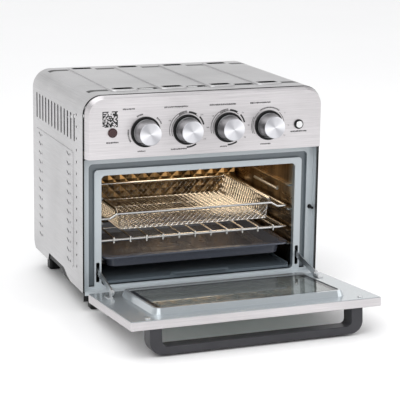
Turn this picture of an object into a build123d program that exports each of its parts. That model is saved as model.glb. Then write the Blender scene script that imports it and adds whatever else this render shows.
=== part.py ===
from build123d import *
import math
import os

# Countertop toaster oven with its door open, one STEP file for each piece.
# Millimetres. x points right, y back and z up. While the pieces are made, y = 0 is the casing's front
# edge and z = 0 its bottom edge. At export everything moves so that the origin is the bottom centre.

# Casing
casing_width = 406.0
casing_height = 317.5
casing_depth = 304.0
corner_radius = 31.0
sheet = 1.0
foot_height = 33.0
foot_x = 176.0
foot_y = (24.0, 272.0)
roof_pitch = 41.5

# Control fascia and knobs
fascia_depth = 15.0
fascia_bottom = 218.0
fascia_width = 402.4
fascia_wall = 1.2
knob_spacing = 70.0
knob_height = 258.2
knob_front = -41.0
shaft_radius = 3.0
running_gap = 0.06

# Door
door_width = 404.0
door_height = 216.5
door_thickness = 14.0
hinge_y = -15.0
hinge_z = -10.0
door_opening = 85.0
rim_height = 9.0
window_bottom = 40.0
window_top = 178.5
window_half = 150.0
handle_front = -54.0
handle_bar = 12.0
handle_half = 172.0
handle_leg = 19.0
handle_bottom = 184.0
handle_top = 212.0

# Front frame and oven chamber
frame_y = 15.0
frame_lip_y = 0.8
plunger_x = 195.5
plunger_z = 110.0
plunger_radius = 2.2
opening_half = 168.0
opening_bottom = 5.0
opening_top = 185.5
chamber_front = 25.0
chamber_back = 272.0
chamber_top = 192.5
guide_reach = 7.0
guide_levels = (46.5, 69.0, 106.0, 147.0)

# Stay arms: each turns on a door bracket and slides through a slot in the front frame
arm_x = 174.0
arm_y = 7.0
arm_z = 38.0
arm_length = 84.0
arm_half_height = 5.0
arm_open_angle = 10.0

# Heating elements, fan, rack, basket and trays
element_y = (100.0, 190.0)
element_z = (19.0, 177.0)
element_radius = 3.3
fan_y = 145.0
fan_z = chamber_top + 4
lamp_y = 238.0
oven_lamp_z = 170.0
rack_front = 41.0
rack_back = 258.0
rack_z = 72.0
basket_front = 37.0
basket_back = 254.0
basket_rail_z = 109.2
basket_rim_z = 116.0
basket_side_rim_z = 122.0
basket_half = 137.0
pan_y = 135.0
pan_rim_z = 49.6
tray_z = 8.5

knob_x = [(i - 1.5) * knob_spacing for i in range(4)]
lamp_x = -159.3
lamp_z = 259.4
button_x = 157.8
button_z = 257.1


# Helpers

def block(x0, x1, y0, y1, z0, z1):
    return Pos((x0 + x1) / 2, (y0 + y1) / 2, (z0 + z1) / 2) * Box(x1 - x0, y1 - y0, z1 - z0)


def rod_x(x0, x1, y, z, radius):
    return Pos((x0 + x1) / 2, y, z) * Rot(0, 90, 0) * Cylinder(radius, x1 - x0)


def rod_y(x, y0, y1, z, radius):
    return Pos(x, (y0 + y1) / 2, z) * Rot(90, 0, 0) * Cylinder(radius, y1 - y0)


def rod_z(x, y, z0, z1, radius):
    return Pos(x, y, (z0 + z1) / 2) * Cylinder(radius, z1 - z0)


def front_plate(sketch, y0, y1):
    """Sketch drawn in x and z, thickened from y0 back to y1."""
    return Pos(0, y1, 0) * extrude(Plane.XZ * sketch, amount=y1 - y0)


def side_plate(sketch, x0, x1):
    """Sketch drawn in y and z, thickened from x0 to x1."""
    return Pos(x0, 0, 0) * extrude(Plane.YZ * sketch, amount=x1 - x0)


def flat_plate(sketch, z0, z1):
    return Pos(0, 0, z0) * extrude(sketch, amount=z1 - z0)


def panel(x0, x1, z0, z1, radius):
    return Pos((x0 + x1) / 2, (z0 + z1) / 2) * RectangleRounded(x1 - x0, z1 - z0, radius)


def arch(width, bottom, top, radius):
    outline = Pos(0, (bottom + top) / 2) * Rectangle(width, top - bottom)
    return fillet(outline.vertices().group_by(Axis.Y)[-1], radius)


def steps(first, last, count):
    return [first + (last - first) * i / (count - 1) for i in range(count)]


def pair(solid):
    return [solid, mirror(solid, Plane.YZ)]


def opened(shape):
    """Turn a door piece from shut to its open rest position."""
    return shape.rotate(Axis((0, hinge_y, hinge_z), (1, 0, 0)), door_opening)


def wire_path(points, radius):
    """Bent wire: straight rods with a ball at each bend."""
    wire = None
    for start, end in zip(points, points[1:]):
        run = Vector(*end) - Vector(*start)
        plane = Plane(origin=start, z_dir=run)
        rod = plane * Pos(0, 0, run.length / 2) * Cylinder(radius, run.length)
        wire = rod if wire is None else wire + rod
    for point in points[1:-1]:
        wire += Pos(*point) * Sphere(radius)
    return wire


# Casing, base, back and feet

def side_vents():
    """Openings in one side panel, drawn in y and z."""
    vents = [Pos(y, 259) * RectangleRounded(6.4, 44, 3.1) for y in steps(48, 277, 13)]
    vents += [Pos(35.5, z) * Circle(2.2) for z in steps(35, 282, 14)]
    for column in (76, 249):
        for z in steps(36, 212, 12):
            vents.append(Pos(column - 8, z) * Circle(2.0))
            vents.append(Pos(column + 5, z) * Rot(0, 0, 24) * RectangleRounded(13, 2.6, 1.2))
    return Sketch() + vents


def roof_slots():
    slots = [Pos(i * roof_pitch, 42) * RectangleRounded(30, 15, 7.4) for i in range(-3, 4)]
    slots += [Pos(i * roof_pitch, 272) * RectangleRounded(33, 15, 7.4) for i in (-3, -1, 1, 3)]
    return Sketch() + slots


def grip_outline(rise):
    """Arch in the bottom edge of each side, drawn in y and z, that shows the finger grip in the base."""
    low = rise - 20
    arch_points = [(58, low), (78, 1.2), (92, 4), (106, 11), (115, rise), (204, rise), (210, 4), (211, low)]
    return make_face(Polyline(arch_points, close=True))


def make_casing():
    shell = arch(casing_width, 0, casing_height, corner_radius)
    hollow = arch(casing_width - 2 * sheet, 0, casing_height - sheet, corner_radius - sheet)
    casing = front_plate(shell - hollow, 0, casing_depth)
    for i in (-3, -1, 1, 3):
        pad = Pos(i * roof_pitch, 157) * RectangleRounded(45, 266, 8)
        pad = flat_plate(pad, casing_height - 0.2, casing_height + 2)
        casing += chamfer(pad.faces().sort_by(Axis.Z)[-1].edges(), 1.2)
    emboss = side_plate(panel(55, 281, 27, 220, 6), casing_width / 2 - 0.2, casing_width / 2 + 1.4)
    emboss = chamfer(emboss.faces().sort_by(Axis.X)[-1].edges(), 1.0)
    for half in pair(emboss):
        casing += half
    casing -= flat_plate(roof_slots(), casing_height - 4, casing_height + 4)
    casing -= side_plate(side_vents(), -casing_width, casing_width)
    casing -= side_plate(grip_outline(13.4), -casing_width, casing_width)
    rear_corner = block(-300, 300, casing_depth - 16, casing_depth + 1, -1, 16)
    rear_corner -= rod_x(-300, 300, casing_depth - 16, 16, 16)
    return casing - rear_corner


def make_back_panel():
    back = front_plate(arch(casing_width - 2.2, 0, casing_height - 1.1, corner_radius - 1.1), 296.8, 298)
    slot = RectangleRounded(34, 5, 2.4)
    slots = [Pos(x, z) * slot for x in steps(-126, 126, 7) for z in steps(216, 292, 6)]
    back -= front_plate(Sketch() + slots, 290, 300)
    back -= rod_y(-150, 290, 300, 40, 8.1)
    for x, z in back_screw_places():
        back -= rod_y(x, 290, 300, z, 2.0)
    return back


def back_screw_places():
    return [(x, z) for x in (-188, 188) for z in (24, 160, 280)]


def make_back_screws():
    screws = []
    for x, z in back_screw_places():
        head = fillet((rod_y(x, 298, 300.2, z, 4.0)).faces().sort_by(Axis.Y)[-1].edges(), 1.0)
        screws.append(head + rod_y(x, 292, 298.1, z, 1.9))
    return screws


def make_base_pan():
    """Floor sheet with a front lip, air slots and a finger grip pressed into each side."""
    base = block(-201, 201, 3, 302, -2, -0.2)
    base += block(-201, 201, 3, 4.2, -15, -0.2)
    slots = [Pos(x, y) * RectangleRounded(40, 6, 2.9) for x in steps(-120, 120, 4) for y in steps(90, 230, 6)]
    base -= flat_plate(Sketch() + slots, -5, 5)
    lower_edge = [(57, -2), (80, -3.6), (98, -4), (112, -2.6), (124, 1), (132, 4.5), (204, 4.5), (212, -2)]
    skirt = make_face(Polyline(lower_edge + [(212, 15), (57, 15)], close=True))
    for grip in pair(block(186, 201, 120, 209, -2, 15)):
        base += grip
    for hollow in pair(block(187, 202, 121, 208, -3, 14)):
        base -= hollow
    for side in pair(side_plate(skirt, 199.8, 201)):
        base += side
    return base


def make_feet():
    feet = []
    for y in foot_y:
        foot = flat_plate(Pos(foot_x, y) * RectangleRounded(20, 22, 5), -foot_height, -2)
        feet += pair(fillet(foot.faces().sort_by(Axis.Z)[0].edges(), 2))
    return feet


def make_hinge_brackets():
    cheek = block(190.5, 192.5, hinge_y - 5, 3, hinge_z - 5, hinge_z + 4.3)
    tab = block(178, 190.6, 1.5, 3, hinge_z - 4, hinge_z + 3.5)
    return pair(cheek + tab - rod_x(180, 200, hinge_y, hinge_z, 2.5))


def make_hinge_pins():
    pin = rod_x(186, 193.6, hinge_y, hinge_z, 2.5)
    return pair(pin + rod_x(193.5, 195, hinge_y, hinge_z, 4))


# Front frame and control fascia

def make_front_frame():
    flange = panel(-201.5, 201.5, 0.5, 216.5, 3)
    channel_outer = panel(-190, 190, -10, 206, 8)
    channel_inner = panel(-178.5, 178.5, -10, 194, 5)
    above_sill = Pos(0, 150) * Rectangle(420, 290)
    inside = panel(-200.5, 200.5, 1.5, 215.5, 2)
    frame = front_plate(flange, frame_lip_y, frame_y + sheet) - front_plate(inside, frame_lip_y - 1, frame_y)
    outer_half = opening_half + sheet
    throat = panel(-outer_half, outer_half, opening_bottom - sheet, opening_top + sheet, 8)
    frame += front_plate(throat, frame_y, chamber_front)
    frame += front_plate((channel_outer - channel_inner) & above_sill, frame_y, frame_y + 7)
    groove = panel(-189, 189, -10, 205, 7) - panel(-179.5, 179.5, -10, 195, 6)
    frame -= front_plate(groove & above_sill, frame_y - 1, frame_y + 6)
    frame += block(-200, 200, 1, frame_y + sheet, 0.5, 1.7)
    frame += block(-200, 200, 1, 2.2, -5, 1.7)
    frame -= front_plate(panel(-opening_half, opening_half, opening_bottom, opening_top, 7), 10, 60)
    for side in (-1, 1):
        frame -= front_plate(panel(side * arm_x - 3, side * arm_x + 3, 11.5, 44, 2), 10, 40)
    return frame - rod_y(plunger_x, 10, 40, plunger_z, 3.7)


def fascia_block(inset):
    """Fascia outline pushed in by a wall thickness; its front edge is bevelled at both sides and the top."""
    outline = arch(fascia_width - 2 * inset, fascia_bottom + inset, casing_height - 0.8 - inset, 29.4 - inset)
    solid = front_plate(outline, inset - fascia_depth, 0)
    front = solid.faces().sort_by(Axis.Y)[0]
    edges = [e for e in front.edges() if e.center().Z > fascia_bottom + inset + 1]
    return chamfer(edges, 4, 11, reference=front)


def make_fascia():
    fascia = fascia_block(0) - fascia_block(fascia_wall) - block(-190, 190, -3, 1, 222, 300)
    for x in knob_x:
        fascia -= rod_y(x, -20, 0, knob_height, 4.5)
    fascia -= rod_y(lamp_x, -20, 0, lamp_z, 6)
    return fascia - rod_y(button_x, -20, 0, button_z, 6.6)


def make_control_plate():
    plate = block(-186, 186, -12, -10.8, 226, 296)
    for x in knob_x:
        plate -= rod_y(x, -20, 0, knob_height, 4.5)
    plate -= rod_y(lamp_x, -20, 0, lamp_z, 6)
    return plate - rod_y(button_x, -20, 0, button_z, 6.6)


def make_dial_ring(x):
    ring = rod_y(x, -18, -fascia_depth, knob_height, 24.3) - rod_y(x, -19, -14, knob_height, 4.5)
    return chamfer(ring.faces().sort_by(Axis.Y)[0].edges().sort_by(SortBy.LENGTH)[-1], 1)


def make_knob(x):
    """Turned knob: a thin rim at the foot, a slightly tapered side and a recess for the cap."""
    body = Pos(x, knob_front + 1, knob_height) * Rot(-90, 0, 0) * Pos(0, 0, 10.85) * Cone(17.6, 20.6, 21.7)
    body -= rod_y(x, knob_front - 1, knob_front + 2.5, knob_height, 16.2)
    return body - rod_y(x, -60, 0, knob_height, shaft_radius)


def make_knob_cap(x):
    cap = rod_y(x, knob_front, knob_front + 2.5, knob_height, 16.2)
    cap += rod_y(x, knob_front, knob_front + 1, knob_height, 17.6)
    return chamfer(cap.faces().sort_by(Axis.Y)[0].edges(), 0.5)


def make_knob_shaft(x):
    return rod_y(x, knob_front + 2.5, 5, knob_height, shaft_radius)


def make_switch_body(x, depth):
    body = block(x - 19, x + 19, -10.8, depth, knob_height - 19, knob_height + 19)
    body = fillet(body.edges().filter_by(Axis.Y), 4)
    for middle in (x - 10, x + 10):
        body += block(middle - 2.5, middle + 2.5, depth, depth + 8, knob_height - 8, knob_height - 7)
    return body - rod_y(x, -20, 6, knob_height, shaft_radius + running_gap)


def make_power_lamp():
    lens = rod_y(lamp_x, -18, -15, lamp_z, 7.6) + rod_y(lamp_x, -15, 2, lamp_z, 5.9)
    return fillet(lens.faces().sort_by(Axis.Y)[0].edges(), 2)


def make_button_bezel():
    bezel = rod_y(button_x, -17, -15, button_z, 7.8) + rod_y(button_x, -15, -8, button_z, 6.5)
    return bezel - rod_y(button_x, -20, 0, button_z, 5.6 + running_gap)


def make_light_button():
    button = rod_y(button_x, -19.6, -5, button_z, 5.6)
    return fillet(button.faces().sort_by(Axis.Y)[0].edges(), 0.8)


def make_micro_switches():
    light = block(button_x - 9, button_x + 9, -1.5, 16, button_z - 9, button_z + 9)
    bracket = block(button_x - 9, button_x + 9, -10.8, -1.5, button_z + 8, button_z + 9)
    door = block(190.6, 200.4, 22.1, 38, plunger_z - 11, plunger_z + 11)
    door += rod_y(plunger_x, 14, 22.1, plunger_z, 3.6)
    door += block(191, 200, 16, 22.2, plunger_z + 8, plunger_z + 10)
    return [light + bracket, door - rod_y(plunger_x, 10, 33, plunger_z, plunger_radius + running_gap)]


def make_plunger():
    plunger = rod_y(plunger_x, 2.0, 28, plunger_z, plunger_radius)
    return fillet(plunger.faces().sort_by(Axis.Y)[0].edges(), 1.0)


# Door

def make_door_outer():
    skin = block(-door_width / 2, door_width / 2, -door_thickness, -0.9, 0, door_height)
    skin = fillet(skin.edges().filter_by(Axis.Y), 3)
    skin = fillet(skin.faces().sort_by(Axis.Y)[0].edges(), 1.6)
    skin -= block(-door_width / 2 + sheet, door_width / 2 - sheet, -13, 5, sheet, door_height - sheet)
    skin -= front_plate(panel(-152, 152, 29, 180.5, 10), -20, 0)
    for side in (-1, 1):
        skin -= rod_y(side * 162.5, -20, 0, 198, 2.1)
    return skin


def rim_shape(inset):
    base = panel(-158 + inset, 158 - inset, 24 + inset, 188 - inset, 16 - inset)
    return extrude(Plane.XZ * base, amount=-(rim_height - inset), taper=24)


def make_door_inner():
    liner = block(-200.9, 200.9, -0.9, 0, 1.1, door_height - 1.1)
    liner += block(-200.9, 200.9, -5, 0, 1.1, 2.1)
    liner += rim_shape(0)
    hollow = rim_shape(sheet)
    liner -= hollow + block(-154, 154, -5, 0.05, 28, 184)
    liner -= front_plate(panel(-window_half, window_half, window_bottom, window_top, 8), -5, 20)
    for side in (-1, 1):
        liner -= rod_y(side * 172, -5, 2, 203, 1.9)
    return liner


def make_door_glass_inner():
    return front_plate(panel(-152.5, 152.5, 37, 181.5, 9), rim_height - 5, rim_height - 1.05)


def make_door_glass_outer():
    return front_plate(panel(-156, 156, 24, 184, 10), -12.9, -9.0)


def make_door_handle():
    reach = -door_thickness - handle_front
    outer = Pos(0, (handle_front - door_thickness) / 2) * Rectangle(2 * handle_half, reach)
    outer = fillet(outer.vertices().group_by(Axis.Y)[0], 20)
    depth = reach - handle_bar
    inner = Pos(0, -door_thickness - depth / 2) * Rectangle(2 * (handle_half - handle_leg), depth)
    inner = fillet(inner.vertices().group_by(Axis.Y)[0], 8)
    handle = flat_plate(outer - inner, handle_bottom, handle_top)
    levels = handle.faces().sort_by(Axis.Z)
    handle = fillet(levels[0].edges() + levels[-1].edges(), 1.2)
    for side in (-1, 1):
        handle -= rod_y(side * 162.5, -26, -10, 198, 2.1)
    return handle


def make_door_screws():
    """Two screws hold the handle from inside the door, and two hold the liner."""
    handle_screw = rod_y(162.5, -26, -12.9, 198, 2.1) + rod_y(162.5, -12.9, -10.5, 198, 4)
    head = fillet(rod_y(172, 0, 1.6, 203, 3.8).faces().sort_by(Axis.Y)[-1].edges(), 0.8)
    return pair(handle_screw) + pair(head + rod_y(172, -8, 0.1, 203, 1.9))


def make_hinge_knuckles():
    leaf = side_plate(Pos(hinge_y, hinge_z) * Circle(4.6), 187, 189.6)
    leaf += block(187, 189.6, hinge_y - 4.6 + 1.2, -2, hinge_z, 0)
    leaf += block(172, 189.6, -13, -2, -1.4, 0)
    return pair(leaf - rod_x(180, 200, hinge_y, hinge_z, 2.5 + running_gap))


def make_stay_brackets():
    outline = Pos(arm_y, arm_z) * Circle(5) + Pos(arm_y / 2, arm_z) * Rectangle(arm_y, 10)
    cheek = side_plate(outline, 175.4, 177.2)
    cheek += block(175.4, 184, 0, 1.2, arm_z - 9, arm_z + 9)
    pin = rod_x(172.2, 175.5, arm_y, arm_z, 2) + rod_x(171.2, 172.6, arm_y, arm_z, 3.2)
    return pair(cheek + pin)


def open_arm_pivot():
    """Where the stay arm's pivot is with the door open, as y and z."""
    turn = math.radians(door_opening)
    dy = arm_y - hinge_y
    dz = arm_z - hinge_z
    return (hinge_y + dy * math.cos(turn) - dz * math.sin(turn),
            hinge_z + dy * math.sin(turn) + dz * math.cos(turn))


def make_stay_arm():
    """Flat bar with round ends, drawn level and then turned about its pivot."""
    y, z = open_arm_pivot()
    outline = Pos(arm_length / 2, 0) * SlotCenterToCenter(arm_length, 2 * arm_half_height)
    outline -= Circle(2 + running_gap)
    bar = side_plate(outline, arm_x - 1, arm_x + 1)
    bar -= rod_x(170, 180, arm_length, 0, 2)
    return Pos(0, y, z) * Rot(arm_open_angle, 0, 0) * bar


# Oven chamber

def make_side_wall():
    wall = block(opening_half, opening_half + sheet, chamber_front, chamber_back, 4, chamber_top)
    for z in guide_levels:
        bead = side_plate(panel(26, 266, z - 3.4, z, 1.6), opening_half - guide_reach, opening_half + 0.5)
        wall += chamfer(bead.faces().sort_by(Axis.X)[0].edges(), 1.2)
    for y in element_y:
        for z in element_z:
            wall -= rod_x(150, 180, y, z, element_radius + 0.1)
    return wall


def make_chamber_roof():
    roof = block(-169, 169, frame_y + sheet, chamber_back + 1, chamber_top, chamber_top + 1)
    return roof - rod_z(0, fan_y, chamber_top - 5, chamber_top + 5, 62)


def make_chamber_floor():
    return block(-opening_half, opening_half, chamber_front, chamber_back, 4, 5)


def make_chamber_back():
    return block(-169, 169, chamber_back, chamber_back + 1, 4, chamber_top)


def make_elements():
    return [rod_x(-180, 180, y, z, element_radius) for y in element_y for z in element_z]


def make_terminals():
    terminals = []
    for y in element_y:
        for z in element_z:
            collar = rod_x(opening_half + 1, 184, y, z, 7) - rod_x(160, 181, y, z, element_radius)
            terminals += pair(collar)
    return terminals


def make_probe():
    probe = rod_y(160.5, 70, 168, 131, 2.4)
    for y in (84, 152):
        probe += rod_x(159, opening_half, y, 131, 1.6)
    return probe


def make_oven_lamp():
    """Glass lens inside the wall, then the bulb in its holder outside the wall."""
    lens = rod_x(opening_half - 5, opening_half, lamp_y, oven_lamp_z, 16)
    lens = fillet(lens.faces().sort_by(Axis.X)[0].edges(), 3)
    holder = rod_x(opening_half + 1, 196, lamp_y, oven_lamp_z, 14)
    holder -= rod_x(opening_half, 188, lamp_y, oven_lamp_z, 11.5)
    return [lens, holder, rod_x(opening_half + 3, 188, lamp_y, oven_lamp_z, 8)]


def make_fan_guard():
    guard = rod_z(0, fan_y, chamber_top - 2, chamber_top, 72)
    hole = RectangleRounded(11, 5, 2.4)
    rings = [Pos(radius, 0) * hole for radius in (20, 36, 52)]
    holes = [Rot(0, 0, angle) * slot for slot in rings for angle in range(0, 360, 20)]
    return guard - Pos(0, fan_y, chamber_top - 10) * extrude(Sketch() + holes, amount=20)


def make_impeller():
    wheel = rod_z(0, fan_y, fan_z, fan_z + 1.2, 54) + rod_z(0, fan_y, fan_z, fan_z + 16, 9)
    for i in range(10):
        blade = Rot(0, 0, 36 * i) * Pos(33, 0, fan_z + 7.5) * Rot(0, 0, 24) * Box(36, 1.2, 14)
        wheel += Pos(0, fan_y, 0) * blade
    return wheel - rod_z(0, fan_y, fan_z - 5, fan_z + 30, shaft_radius)


def make_heat_shield():
    shield = block(-196, 196, 32, 292, 223.5, 224.5)
    return shield - rod_z(0, fan_y, 220, 230, 8)


def make_fan_motor():
    motor = rod_z(0, fan_y, 224.5, 262, 32) + block(-40, 40, fan_y - 9, fan_y + 9, 224.5, 227)
    return motor - rod_z(0, fan_y, 220, 256, shaft_radius + running_gap)


def make_cord_gland():
    gland = rod_y(-150, 292, 298, 40, 8) + rod_y(-150, 298, 306, 40, 11)
    gland = fillet(gland.faces().sort_by(Axis.Y)[-1].edges(), 2)
    return gland - rod_y(-150, 285, 310, 40, 3.6)


# Rack, basket and trays

def make_wire_rack():
    """Rack welded from wires that touch: a border, two cross wires, and long wires hooked over the front."""
    border = 2.5
    side_x = 162.0
    wires = [rod_x(-side_x - border, side_x + border, y, rack_z, border) for y in (rack_front, rack_back)]
    wires += pair(rod_y(side_x, rack_front + border, rack_back - border, rack_z, border))
    thin = 1.6
    top = rack_z + border + thin
    wires += [rod_x(border - side_x, side_x - border, y, top - 2 * thin, thin) for y in (115, 185)]
    hook_y = rack_front - border - thin
    for x in steps(-140, 140, 11):
        bend = [(x, hook_y, rack_z - 4), (x, hook_y, top), (x, rack_back + border, top)]
        wires.append(wire_path(bend, thin))
    return wires


def make_basket_frame():
    """Front and back bars step down to a rail at each side; a taller rim wire runs along each side."""
    frame = None
    for y in (basket_front, basket_back):
        half = [(basket_half - 2, y, basket_rim_z), (147, y, basket_rail_z), (161, y, basket_rail_z)]
        bar = [(-x, a, b) for x, a, b in reversed(half)] + half
        frame = wire_path(bar, 2.2) if frame is None else frame + wire_path(bar, 2.2)
    for side in (-1, 1):
        x = side * 161
        frame += wire_path([(x, basket_front, basket_rail_z), (x, basket_back, basket_rail_z)], 2.2)
        for y in (basket_front, basket_back):
            frame += Pos(x, y, basket_rail_z) * Sphere(2.2)
        x = side * (basket_half - 2)
        front = basket_front + 1
        back = basket_back - 1
        top = basket_side_rim_z
        rim = [(x, front, basket_rim_z), (x, front + 6, top), (x, back - 6, top), (x, back, basket_rim_z)]
        frame += wire_path(rim, 2)
    return frame


def make_basket_mesh():
    """Tub of woven wire, kept here as a thin closed shell."""
    width = 2 * basket_half - 9
    length = basket_back - basket_front - 6
    middle = (basket_front + basket_back) / 2
    depth = 27.0
    tub = extrude(Pos(0, middle) * RectangleRounded(width, length, 14), amount=-depth, taper=8)
    inside = Pos(0, middle) * RectangleRounded(width - 3, length - 3, 12.5)
    hollow = extrude(inside, amount=1.5 - depth, taper=8)
    return Pos(0, 0, basket_rim_z - 1.5) * (tub - hollow)


def make_baking_pan():
    tub = extrude(Pos(0, pan_y) * RectangleRounded(308, 214, 18), amount=-19, taper=12)
    hollow = extrude(Pos(0, pan_y) * RectangleRounded(305.6, 211.6, 17), amount=-17.8, taper=12)
    rim = flat_plate(Pos(0, pan_y) * RectangleRounded(326, 232, 14), -1.2, 0)
    bead = flat_plate(Pos(0, pan_y) * RectangleRounded(326, 232, 14), -2.6, 0)
    bead -= flat_plate(Pos(0, pan_y) * RectangleRounded(323.4, 229.4, 13), -5, 5)
    return Pos(0, 0, pan_rim_z) * (rim + bead + tub - hollow)


def make_crumb_tray():
    tray = block(-160, 160, 18, 264, tray_z, tray_z + 1)
    for side in (-1, 1):
        tray += block(side * 159.5 - 0.5, side * 159.5 + 0.5, 18, 264, tray_z, tray_z + 7)
    tray += block(-160, 160, 263, 264, tray_z, tray_z + 7)
    tray += block(-160, 160, 17, 18, tray_z - 1, tray_z + 3)
    tab = front_plate(Pos(2, tray_z + 3.5) * Trapezoid(112, 9, 50), 17, 18)
    lip = block(-46, 50, 11, 18, tray_z + 6.9, tray_z + 8)
    return tray + tab + lip


# Export

y_shift = -(casing_depth + 2.0 - 240.6) / 2


def place(shape):
    return Pos(0, y_shift, foot_height) * shape


def save(name, *shapes):
    solids = [place(solid) for shape in shapes for solid in shape.solids()]
    export_step(Compound(label=name, children=solids) if len(solids) > 1 else solids[0], f"parts/{name}.step")


os.makedirs("parts", exist_ok=True)

save("outer_casing", make_casing())
save("back_panel", make_back_panel())
save("back_screws", *make_back_screws())
save("base_pan", make_base_pan())
save("feet", *make_feet())
save("hinge_brackets", *make_hinge_brackets())
save("hinge_pins", *make_hinge_pins())
save("front_frame", make_front_frame())
save("control_fascia", make_fascia())
save("control_plate", make_control_plate())
save("dial_rings", *[make_dial_ring(x) for x in knob_x])
save("power_lamp_lens", make_power_lamp())
save("light_button_bezel", make_button_bezel())
save("light_button", make_light_button())
save("micro_switches", *make_micro_switches())
save("door_switch_plunger", make_plunger())

knob_names = ("function", "temperature", "oven_timer", "fry_timer")
for name, x in zip(knob_names, knob_x):
    save(name + "_knob", make_knob(x))
    save(name + "_knob_cap", make_knob_cap(x))
    save(name + "_shaft", make_knob_shaft(x))
save("selector_switches", make_switch_body(knob_x[0], 12), make_switch_body(knob_x[1], 16))
save("timer_bodies", make_switch_body(knob_x[2], 20), make_switch_body(knob_x[3], 20))

save("door_outer_panel", opened(make_door_outer()))
save("door_inner_panel", opened(make_door_inner()))
save("door_glass_outer", opened(make_door_glass_outer()))
save("door_glass_inner", opened(make_door_glass_inner()))
save("door_handle", opened(make_door_handle()))
save("door_screws", *[opened(s) for s in make_door_screws()])
save("hinge_knuckles", *[opened(s) for s in make_hinge_knuckles()])
save("stay_brackets", *[opened(s) for s in make_stay_brackets()])
right_arm, left_arm = pair(make_stay_arm())
save("stay_arm_right", right_arm)
save("stay_arm_left", left_arm)

right_wall, left_wall = pair(make_side_wall())
save("chamber_right_wall", right_wall)
save("chamber_left_wall", left_wall)
save("chamber_roof", make_chamber_roof())
save("chamber_floor", make_chamber_floor())
save("chamber_back_wall", make_chamber_back())
save("heating_elements", *make_elements())
save("element_terminals", *make_terminals())
save("thermostat_probe", make_probe())
save("oven_lamp", *make_oven_lamp())
save("fan_guard", make_fan_guard())
save("fan_impeller", make_impeller())
save("fan_shaft", rod_z(0, fan_y, fan_z, fan_z + 50, shaft_radius))
save("heat_shield", make_heat_shield())
save("fan_motor", make_fan_motor())
save("cord_gland", make_cord_gland())

save("wire_rack", *make_wire_rack())
save("fry_basket_frame", make_basket_frame())
save("fry_basket_mesh", make_basket_mesh())
save("baking_pan", make_baking_pan())
save("crumb_tray", make_crumb_tray())

pivot_y, pivot_z = open_arm_pivot()
print("y shift", round(y_shift, 3), "door hinge", hinge_y + y_shift, hinge_z + foot_height)
print("arm pivot", round(pivot_y + y_shift, 3), round(pivot_z + foot_height, 3))
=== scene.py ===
import math
import random

import bmesh
import bpy
from mathutils import Matrix, Vector


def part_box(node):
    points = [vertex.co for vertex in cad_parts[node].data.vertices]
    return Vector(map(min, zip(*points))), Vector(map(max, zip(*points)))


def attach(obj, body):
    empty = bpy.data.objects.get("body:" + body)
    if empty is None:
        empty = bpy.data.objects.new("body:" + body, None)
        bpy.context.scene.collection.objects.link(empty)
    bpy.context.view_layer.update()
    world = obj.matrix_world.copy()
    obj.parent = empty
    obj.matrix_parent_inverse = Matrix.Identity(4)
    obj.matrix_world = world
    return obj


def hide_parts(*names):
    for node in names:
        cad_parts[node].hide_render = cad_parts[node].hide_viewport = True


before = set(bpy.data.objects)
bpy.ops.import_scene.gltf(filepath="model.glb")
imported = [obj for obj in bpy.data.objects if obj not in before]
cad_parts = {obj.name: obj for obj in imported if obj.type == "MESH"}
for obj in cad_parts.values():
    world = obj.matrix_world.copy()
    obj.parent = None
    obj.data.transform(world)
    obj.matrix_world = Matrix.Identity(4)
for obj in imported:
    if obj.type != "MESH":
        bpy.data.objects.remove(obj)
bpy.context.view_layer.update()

bl_info = {
    "name": "Toaster Oven Finisher",
    "version": (1, 0, 0),
    "blender": (4, 5, 0),
    "location": "View3D > Sidebar > Oven",
    "description": "Dresses the toaster oven's frame with finishes, woven wire, printed marks and a studio",
    "category": "Object",
}

MM = 0.001

# Places read from the frame, in metres
FASCIA_LOW, FASCIA_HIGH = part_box("control_fascia")
CASING_LOW, CASING_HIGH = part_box("outer_casing")
CHAMBER_LOW, CHAMBER_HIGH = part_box("chamber_back_wall")
MESH_LOW, MESH_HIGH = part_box("fry_basket_mesh")
GLASS_LOW, GLASS_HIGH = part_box("door_glass_inner")
KNOBS = ("function", "temperature", "oven_timer", "fry_timer")


def middle_of(node):
    low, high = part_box(node)
    return (Vector(low) + Vector(high)) / 2


KNOB_CENTRES = {name: middle_of(name + "_knob") for name in KNOBS}
KNOB_SPACING = KNOB_CENTRES["temperature"].x - KNOB_CENTRES["function"].x
KNOB_HEIGHT = KNOB_CENTRES["function"].z
FRONT_OF_CASING = CASING_LOW.y
FRAME_LOW, FRAME_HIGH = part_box("front_frame")

# Roof louvres: the same places as in the sheet
ROOF_PITCH = 41.5 * MM
FRONT_LOUVRE = FRONT_OF_CASING + 42 * MM
REAR_LOUVRE = FRONT_OF_CASING + 272 * MM
LOUVRE_HALF_WIDTH = 17 * MM
LOUVRE_HALF_LENGTH = 7.6 * MM

# Round roof corners, measured to the inside of the sheet
CORNER_X = 172 * MM
CORNER_DROP = 33 * MM
CORNER_INSIDE = 30.4 * MM

# Painted shade for the dark gaps round the front frame and under the fascia
GAP_SHADE_BLACK = (0.004, 0.004, 0.004)
CAP_DEPTH = 1.0 * MM
POINTER_ANGLE = -234


# Shader maths

class Value:
    """A shader socket that takes part in arithmetic: each operation adds one Math node."""

    def __init__(self, finish, socket):
        self.finish = finish
        self.socket = socket

    def math(self, operation, *others):
        return self.finish.math(operation, self, *others)

    def __add__(self, other):
        return self.finish.math("ADD", self, other)

    def __radd__(self, other):
        return self.finish.math("ADD", other, self)

    def __sub__(self, other):
        return self.finish.math("SUBTRACT", self, other)

    def __rsub__(self, other):
        return self.finish.math("SUBTRACT", other, self)

    def __mul__(self, other):
        return self.finish.math("MULTIPLY", self, other)

    def __rmul__(self, other):
        return self.finish.math("MULTIPLY", other, self)

    def __truediv__(self, other):
        return self.finish.math("DIVIDE", self, other)

    def __gt__(self, other):
        return self.finish.math("GREATER_THAN", self, other)

    def __lt__(self, other):
        return self.finish.math("LESS_THAN", self, other)


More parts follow.
